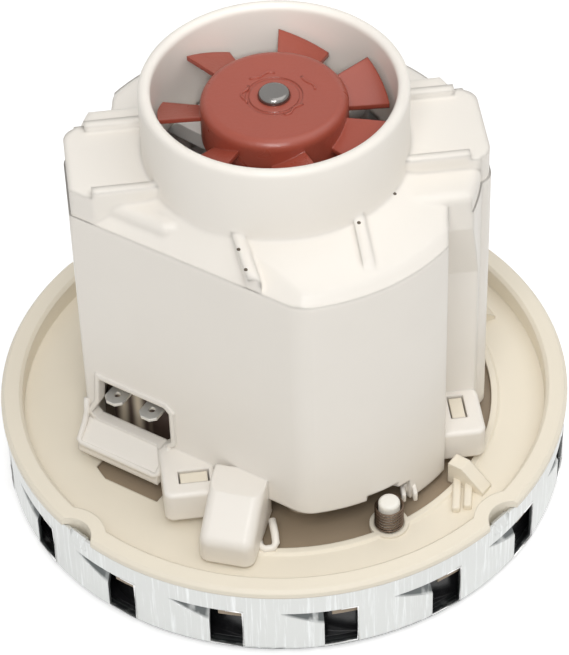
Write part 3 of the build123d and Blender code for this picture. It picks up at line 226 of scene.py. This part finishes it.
def axes(tree):
    """Where a point is on the piece, along X, Y and Z in metres."""
    place = tree.nodes.new("ShaderNodeTexCoord")
    return node(tree, "ShaderNodeSeparateXYZ", Vector=place.outputs["Object"]).outputs


def overlay(material, share, colour):
    """Lays a colour over the material's own as far as the share says."""
    tree = material.node_tree
    base = tree.nodes["Principled BSDF"].inputs["Base Color"]
    tree.links.new(blend(tree, share, base.links[0].from_socket, colour), base)


galvanised = metal("galvanised_sheet", (0.61, 0.62, 0.61), 0.46, streak=(1, 1, 0.18), size=60, spread=0.10)

# Upright streaks left by the press, white on the zinc
tree = galvanised.node_tree
place = tree.nodes.new("ShaderNodeTexCoord")
drawn = node(tree, "ShaderNodeMapping", Vector=place.outputs["Object"], Scale=(1, 1, 0.04)).outputs[0]
streaks = node(tree, "ShaderNodeTexNoise", Vector=drawn, Scale=1400.0, Detail=4.0, Roughness=0.7)
overlay(galvanised, ramp(tree, streaks.outputs["Fac"], 0.52, 0.72, 0.0, 0.6), (0.88, 0.90, 0.91, 1))

# Painted shade: the dents are painted darker, in patches and only below the crimps, than the wall they are
# pressed from
wall_reach = parts["fan_casing"].dimensions.x / 2
full_dent = 0.00035
least_dent = 0.00004
crimp_low = 0.0142
spot = axes(tree)
squares = maths(tree, "ADD", maths(tree, "POWER", spot["X"], 2), maths(tree, "POWER", spot["Y"], 2))
reach = maths(tree, "SQRT", squares)
sunk = ramp(tree, reach, wall_reach - full_dent, wall_reach - least_dent, 1.0, 0.0)
patches = node(tree, "ShaderNodeTexNoise", Vector=drawn, Scale=420.0, Detail=3.0)
painted_dent_shade = maths(tree, "MULTIPLY", sunk, ramp(tree, patches.outputs["Fac"], 0.22, 0.48))
below_crimps = maths(tree, "LESS_THAN", spot["Z"], crimp_low)
overlay(galvanised, maths(tree, "MULTIPLY", painted_dent_shade, below_crimps), (0.13, 0.14, 0.14, 1))
dress(galvanised, "fan_casing")

# Window edges: the bright burr that the punch left round each exhaust window, a
# thin bead that belongs to the casing's sheet and is dressed in freshly cut zinc.


def place_piece(name, shape, material, body):
    """Turns a bmesh into a named piece with this finish that moves with the body."""
    mesh = bpy.data.meshes.new(name)
    bmesh.ops.recalc_face_normals(shape, faces=shape.faces)
    for face in shape.faces:
        face.smooth = True
    shape.to_mesh(mesh)
    shape.free()
    piece = bpy.data.objects.new(name, mesh)
    bpy.context.scene.collection.objects.link(piece)
    mesh.materials.append(material)
    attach(piece, body)


def add_bead(shape, points, radius, sides=10):
    """Sweeps a round bead along the points, with closed ends."""
    last = len(points) - 1
    loops = []
    for index, point in enumerate(points):
        along = (points[min(index + 1, last)] - points[max(index - 1, 0)]).normalized()
        turn = along.to_track_quat("Z", "Y")
        loop = []
        for side in range(sides):
            angle = radians(360 * side / sides)
            loop.append(shape.verts.new(point + turn @ Vector((radius * cos(angle), radius * sin(angle), 0))))
        loops.append(loop)
    for first, second in zip(loops, loops[1:]):
        for side in range(sides):
            after = (side + 1) % sides
            shape.faces.new((first[side], first[after], second[after], second[side]))
    shape.faces.new(reversed(loops[0]))
    shape.faces.new(loops[-1])


window_count = 16
first_window = -86.2
window_half = 0.0038
window_low = 0.0021
window_high = 0.0135
burr = 0.00022
window_corners = (
    (-window_half, window_low),
    (window_half, window_low),
    (window_half, window_high),
    (0, window_high),
)
edges = bmesh.new()
for count in range(window_count):
    turn = Matrix.Rotation(radians(first_window + 360 / window_count * count), 4, "Z")
    path = [turn @ Vector((wall_reach - burr / 2, across, height)) for across, height in window_corners]
    add_bead(edges, path, burr, sides=6)
cut_zinc = metal("cut_zinc", (0.90, 0.90, 0.89), 0.40, size=200, spread=0.05)
place_piece("window_burrs", edges, cut_zinc, "housing")

# Diffuser: black moulded vanes behind the exhaust windows, a loose insert that the
# casing holds. It is glossy where the vanes were polished in the mould.


def moulding(name, colour, roughness, mottle=0.04, grain=0.06, edge=0.0005, pitch=1.0):
    """A moulded plastic: faint clouding, fine spark-eroded grain and softly rounded edges."""
    made = bpy.data.materials.new(name)
    made.use_nodes = True
    tree = made.node_tree
    shader = tree.nodes["Principled BSDF"]
    place = tree.nodes.new("ShaderNodeTexCoord").outputs["Object"]
    cloud = node(tree, "ShaderNodeTexNoise", Vector=place, Scale=38.0 * pitch, Detail=5.0, Roughness=0.6)
    fine = node(tree, "ShaderNodeTexNoise", Vector=place, Scale=1500.0 * pitch, Detail=2.0)
    swirl = node(tree, "ShaderNodeTexNoise", Vector=place, Scale=160.0 * pitch, Detail=3.0, Distortion=1.2)
    gloss = ramp(tree, swirl.outputs["Fac"], 0.3, 0.7, roughness * 0.88, roughness * 1.12)
    feed(tree, shader.inputs["Base Color"], mottled(tree, cloud.outputs["Fac"], colour, mottle))
    feed(tree, shader.inputs["Roughness"], gloss)
    feed(tree, shader.inputs["Normal"], grained(tree, edge, fine.outputs["Fac"], grain, 0.00015))
    return made


dress(moulding("diffuser_black", (0.012, 0.012, 0.013), 0.22, edge=0.0003), "diffuser")

# Bowl: a warm cream moulding that seats in the casing. It carries the rim, the deck,
# the latches and ribs, the bearing cup and the posts that the stator stands on. Below
# the deck's top it is painted dark brown as painted shade.
painted_shade_top = 0.0155
full_painted_shade_top = 0.0149
cream = moulding("bowl_cream", (0.840, 0.775, 0.650), 0.42, mottle=0.03)
tree = cream.node_tree
# Painted shade: everything lower than the deck's top fades to dark brown
overlay(cream, ramp(tree, axes(tree)["Z"], full_painted_shade_top, painted_shade_top, 1.0, 0.0), (0.34, 0.265, 0.185, 1))
dress(cream, "lower_housing")

# Deck bars: two low parallel ribs on the bowl's deck in front of the right snap, of
# the same cream moulding, sunk a little in the deck.


def add_slab(shape, start, end, width, low, high, round_edge):
    """A bar from start to end with all its edges rounded."""
    run = Vector(end) - Vector(start)
    box = bmesh.ops.create_cube(shape, size=1.0)["verts"]
    grow = Matrix.Diagonal((run.length, width, high - low, 1))
    turn = Matrix.Rotation(run.xy.angle_signed(Vector((1, 0))), 4, "Z")
    middle = (Vector(start) + Vector(end)) / 2
    shift = Matrix.Translation((middle.x, middle.y, (low + high) / 2))
    bmesh.ops.transform(shape, matrix=shift @ turn @ grow, verts=box)
    sides = {edge for vert in box for edge in vert.link_edges}
    bmesh.ops.bevel(shape, geom=list(sides), offset=round_edge, segments=3, profile=0.5, affect="EDGES")


deck_height = 0.0156
bar_sink = 0.0006
bar_rise = 0.0016
bar_width = 0.0019
bar_round = 0.0005
bar_ends = (
    ((0.0336, -0.0428, 0), (0.0358, -0.0317, 0)),
    ((0.0363, -0.0424, 0), (0.0385, -0.0317, 0)),
)
bars = bmesh.new()
for start, end in bar_ends:
    add_slab(bars, start, end, bar_width, deck_height - bar_sink, deck_height + bar_rise, bar_round)
place_piece("deck_bars", bars, cream, "housing")

# Ball bearings: ground steel rings, pressed into the cup and the bridge and on to
# the shaft, which carry the rotor at both ends.
ring_steel = metal("ring_steel", (0.62, 0.62, 0.63), 0.22, size=90, spread=0.05, edge=0.0001)
dress(ring_steel, "lower_bearing_outer", "lower_bearing_inner", "upper_bearing_outer", "upper_bearing_inner")

# Shaft with the impeller's spacer: turned steel with fine turning rings, domed at
# the fan end where it shows in the fan's hub.
turned_steel = metal(
    "turned_steel", (0.21, 0.20, 0.19), 0.24, streak=(0.4, 0.4, 6), size=120, spread=0.06, edge=0.0002
)
dress(turned_steel, "shaft", "impeller_spacer")

# Armature and field coils: varnished laminations, the armature's pressed on the
# shaft, with enamelled copper wire wound on them.
laminations = metal(
    "laminations", (0.20, 0.20, 0.21), 0.42, streak=(0.2, 0.2, 30), size=60, spread=0.16, relief=0.3
)
dress(laminations, "armature_core", "stator_core")


def winding(name, colour):
    """Enamelled wire laid side by side and varnished: a striped relief with a lacquer coat."""
    made = metal(name, colour, 0.34, size=70, spread=0.12, relief=0.1)
    tree = made.node_tree
    shader = tree.nodes["Principled BSDF"]
    place = tree.nodes.new("ShaderNodeTexCoord").outputs["Object"]
    strands = node(tree, "ShaderNodeTexWave", Vector=place, Scale=420.0, Distortion=1.5, Detail=2.0)
    strands.bands_direction = "DIAGONAL"
    grain = shader.inputs["Normal"].links[0].from_socket
    ridges = node(
        tree, "ShaderNodeBump", Strength=0.7, Distance=0.0003, Height=strands.outputs["Fac"], Normal=grain
    )
    tree.links.new(ridges.outputs[0], shader.inputs["Normal"])
    shader.inputs["Coat Weight"].default_value = 0.5
    return made


copper_wire = winding("enamelled_wire", (0.42, 0.14, 0.045))
dress(copper_wire, "armature_winding", "rear_field_coil", "front_field_coil")

# Commutator: copper bars moulded into a dark resin hub and turned true. The brush
# holders are moulded of the same resin.
resin = moulding("commutator_resin", (0.035, 0.022, 0.016), 0.45, mottle=0.15)
bar_copper = metal("bar_copper", (0.62, 0.30, 0.17), 0.28, streak=(0.3, 0.3, 9), size=90, spread=0.12)
dress(resin, "commutator_hub", "left_brush_holder", "right_brush_holder")
dress(bar_copper, "commutator_bars")

# Impeller: a front and a back plate of rolled aluminium with curved vanes staked
# between them, clamped on the shaft by a zinc plated washer and nut. The stator's
# screws have the same plating.
impeller_sheet = metal("impeller_sheet", (0.66, 0.67, 0.69), 0.3, size=50, spread=0.06)
plated = metal("zinc_plated", (0.62, 0.61, 0.58), 0.3, size=110, spread=0.1)
dress(impeller_sheet, "impeller_front_plate", "impeller_blades", "impeller_back_plate")
dress(plated, "impeller_washer", "impeller_nut", "stator_screws")

# Stator's insulators: pressed board end frames between the laminations and coils,
# with the board's coarse brown mottle.
board = moulding("pressed_board", (0.46, 0.36, 0.20), 0.6, mottle=0.12, grain=0.2)
dress(board, "lower_stator_insulator", "upper_stator_insulator")

# Bearing bridge: white moulding across the top of the stator. It holds the upper
# bearing and shows between the fan's blades.
dress(moulding("bridge_white", (0.88, 0.865, 0.83), 0.42), "bearing_bridge")

# Brush gear: drawn brass tubes in moulded holders, with pressed carbon brushes and
# rolled ribbon springs behind them.
brass = metal("tube_brass", (0.60, 0.42, 0.16), 0.3, streak=(0.1, 1, 1), size=80, spread=0.1)
carbon = moulding("brush_carbon", (0.012, 0.012, 0.013), 0.5, mottle=0.3, grain=0.3)
ribbon = metal("ribbon_steel", (0.30, 0.29, 0.27), 0.3, size=90, spread=0.1)
dress(brass, "left_brush_tube", "right_brush_tube")
dress(carbon, "left_carbon_brush", "right_carbon_brush")
dress(ribbon, "left_brush_spring", "right_brush_spring")

# Terminals: two tinned spade blades that stand in a brown moulded block behind the
# window in the hood. The block's left half is banded with pale columns, a painted
# highlight standing in for the lit faces of upright ribs.
tinned = metal("tinned_blade", (0.80, 0.79, 0.75), 0.42, streak=(1, 1, 0.3), size=130, spread=0.14)
tinned.node_tree.nodes["Principled BSDF"].inputs["Metallic"].default_value = 0.45
dress(tinned, "left_terminal", "right_terminal")

banded_share = 0.45
plain_share = 0.58
block_brown = moulding("block_brown", (0.060, 0.038, 0.030), 0.5, mottle=0.1)
tree = block_brown.node_tree
block_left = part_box("terminal_block")[0][0]
block_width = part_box("terminal_block")[1][0] - block_left
pale_end = block_left + banded_share * block_width
brown_start = block_left + plain_share * block_width
# Painted highlight: pale upright bands on the block's left half, for lit ribs
rib_highlight_half = ramp(tree, axes(tree)["X"], pale_end, brown_start, 1.0, 0.0)
place = tree.nodes.new("ShaderNodeTexCoord").outputs["Object"]
painted_rib_highlight = node(tree, "ShaderNodeTexWave", Vector=place, Scale=95.0, Distortion=0.6)
overlay(block_brown, maths(tree, "MULTIPLY", rib_highlight_half, painted_rib_highlight.outputs["Fac"]), (0.66, 0.58, 0.46, 1))
dress(block_brown, "terminal_block")

# Hood: an ivory moulding latched over the motor, with the collar that the cooling
# air comes in through, two ears, the terminal window and its chute. Its edges are
# rounder on the roof than on the walls.
wall_top = 0.080
roof_low = 0.086
wall_edge = 0.0007
roof_edge = 0.0022
ivory = moulding("hood_ivory", (0.865, 0.825, 0.765), 0.38, mottle=0.03)
tree = ivory.node_tree
soft = next(n for n in tree.nodes if n.type == "BEVEL")
soft.samples = 10
feed(tree, soft.inputs["Radius"], ramp(tree, axes(tree)["Z"], wall_top, roof_low, wall_edge, roof_edge))
dress(ivory, "top_hood")

# Chute bead: the raised edge moulded round the terminal chute, from the wall beside
# the window, down both sides and along the lip. Its points are distances from the
# axis, along the wall and up, before the turn to the wall.
wall_azimuth = -129.0
bead_radius = 0.0007
chute_edge = (
    (0.0358, -0.0304, 0.0300),
    (0.0363, -0.0304, 0.0262),
    (0.0379, -0.0301, 0.0240),
    (0.0407, -0.0299, 0.0212),
    (0.0410, -0.0292, 0.0206),
    (0.0410, -0.0090, 0.0206),
    (0.0407, -0.0083, 0.0212),
    (0.0379, -0.0081, 0.0240),
    (0.0363, -0.0080, 0.0262),
)
flat_turn = Matrix.Rotation(radians(wall_azimuth), 4, "Z")
bead = bmesh.new()
add_bead(bead, [flat_turn @ Vector(point) for point in chute_edge], bead_radius)
place_piece("chute_bead", bead, ivory, "housing")

# Wire hook and cover bracket: two small ivory lugs moulded on the hood's bottom edge,
# one beside the foot and one beside the contact pin.
hook_radius = 0.0009
hook_path = (
    (-0.0080, -0.0420, 0.0192),
    (-0.0078, -0.0455, 0.0184),
    (-0.0078, -0.0472, 0.0172),
    (-0.0085, -0.0480, 0.0165),
    (-0.0103, -0.0480, 0.0163),
    (-0.0113, -0.0470, 0.0163),
    (-0.0116, -0.0435, 0.0163),
)
bracket_sides = (0.0222, 0.0248)
bracket_back = -0.0368
bracket_front = -0.0402
bracket_web = -0.0366
bracket_low = 0.0180
bracket_high = 0.0206
bracket_wall = 0.0010
web_wall = 0.0012
bracket_round = 0.0003
lugs = bmesh.new()
add_bead(lugs, [Vector(point) for point in hook_path], hook_radius)
for across in bracket_sides:
    add_slab(
        lugs, (across, bracket_back, 0), (across, bracket_front, 0),
        bracket_wall, bracket_low, bracket_high, bracket_round,
    )
web_start, web_end = [(across, bracket_web, 0) for across in bracket_sides]
add_slab(lugs, web_start, web_end, web_wall, bracket_low, bracket_high, bracket_round)
place_piece("hood_lugs", lugs, ivory, "housing")

# Specks: small dark marks on the hood's roof and ribs, where the ejector pins are
# taken to have pushed. Each is a flattened bead of dried grease set in the surface.
speck_places = ((-0.0117, -0.0308), (-0.0108, -0.0358), (0.0143, -0.0270), (0.0233, -0.0182))
speck_radius = 0.00042
speck_flatness = 0.25
above_hood = 0.2
specks = bmesh.new()
for across, forward in speck_places:
    spot, facing = parts["top_hood"].ray_cast((across, forward, above_hood), (0, 0, -1))[1:3]
    lean = facing.to_track_quat("Z", "Y").to_matrix().to_4x4()
    flat = Matrix.Diagonal((1, 1, speck_flatness, 1))
    seat = Matrix.Translation(spot) @ lean @ flat
    bmesh.ops.create_uvsphere(specks, u_segments=12, v_segments=8, radius=speck_radius, matrix=seat)
grease = moulding("dried_grease", (0.11, 0.085, 0.06), 0.5, mottle=0.3)
place_piece("roof_specks", specks, grease, "housing")

# Cooling fan: brick red moulding pressed on the shaft's end in the hood's collar,
# with a coarser grain and stronger clouding than the hood's.
fan_red = moulding("fan_red", (0.325, 0.066, 0.040), 0.31, mottle=0.14, grain=0.30, pitch=0.8)
dress(fan_red, "cooling_fan")

# Fan marks: the four raised gate marks that the mould left round the fan's bore, of
# the fan's own red moulding. Each is a wavy bead with its azimuth, reach and sweep.
fan_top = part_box("cooling_fan")[1][2]
gate_marks = ((104, 0.0074, 44), (22, 0.0086, 34), (168, 0.0066, 52), (-56, 0.0064, 46))
mark_radius = 0.00028
mark_steps = 8
wave_height = 0.0005
waves = 9
marks = bmesh.new()
for azimuth, reach, sweep in gate_marks:
    path = []
    for step in range(mark_steps + 1):
        angle = radians(azimuth + sweep * (step / mark_steps - 0.5))
        wave = reach + wave_height * sin(angle * waves)
        path.append(Vector((wave * cos(angle), wave * sin(angle), fan_top)))
    add_bead(marks, path, mark_radius, sides=8)
place_piece("fan_gate_marks", marks, fan_red, "rotor")

# Contact pin and its spring: a small white moulded pin through the deck, inside a
# coil of brownish spring wire that stands on the deck.
dress(moulding("pin_white", (0.88, 0.86, 0.80), 0.35), "contact_pin")
dress(metal("spring_wire", (0.16, 0.115, 0.085), 0.35, size=200, spread=0.2), "contact_spring")
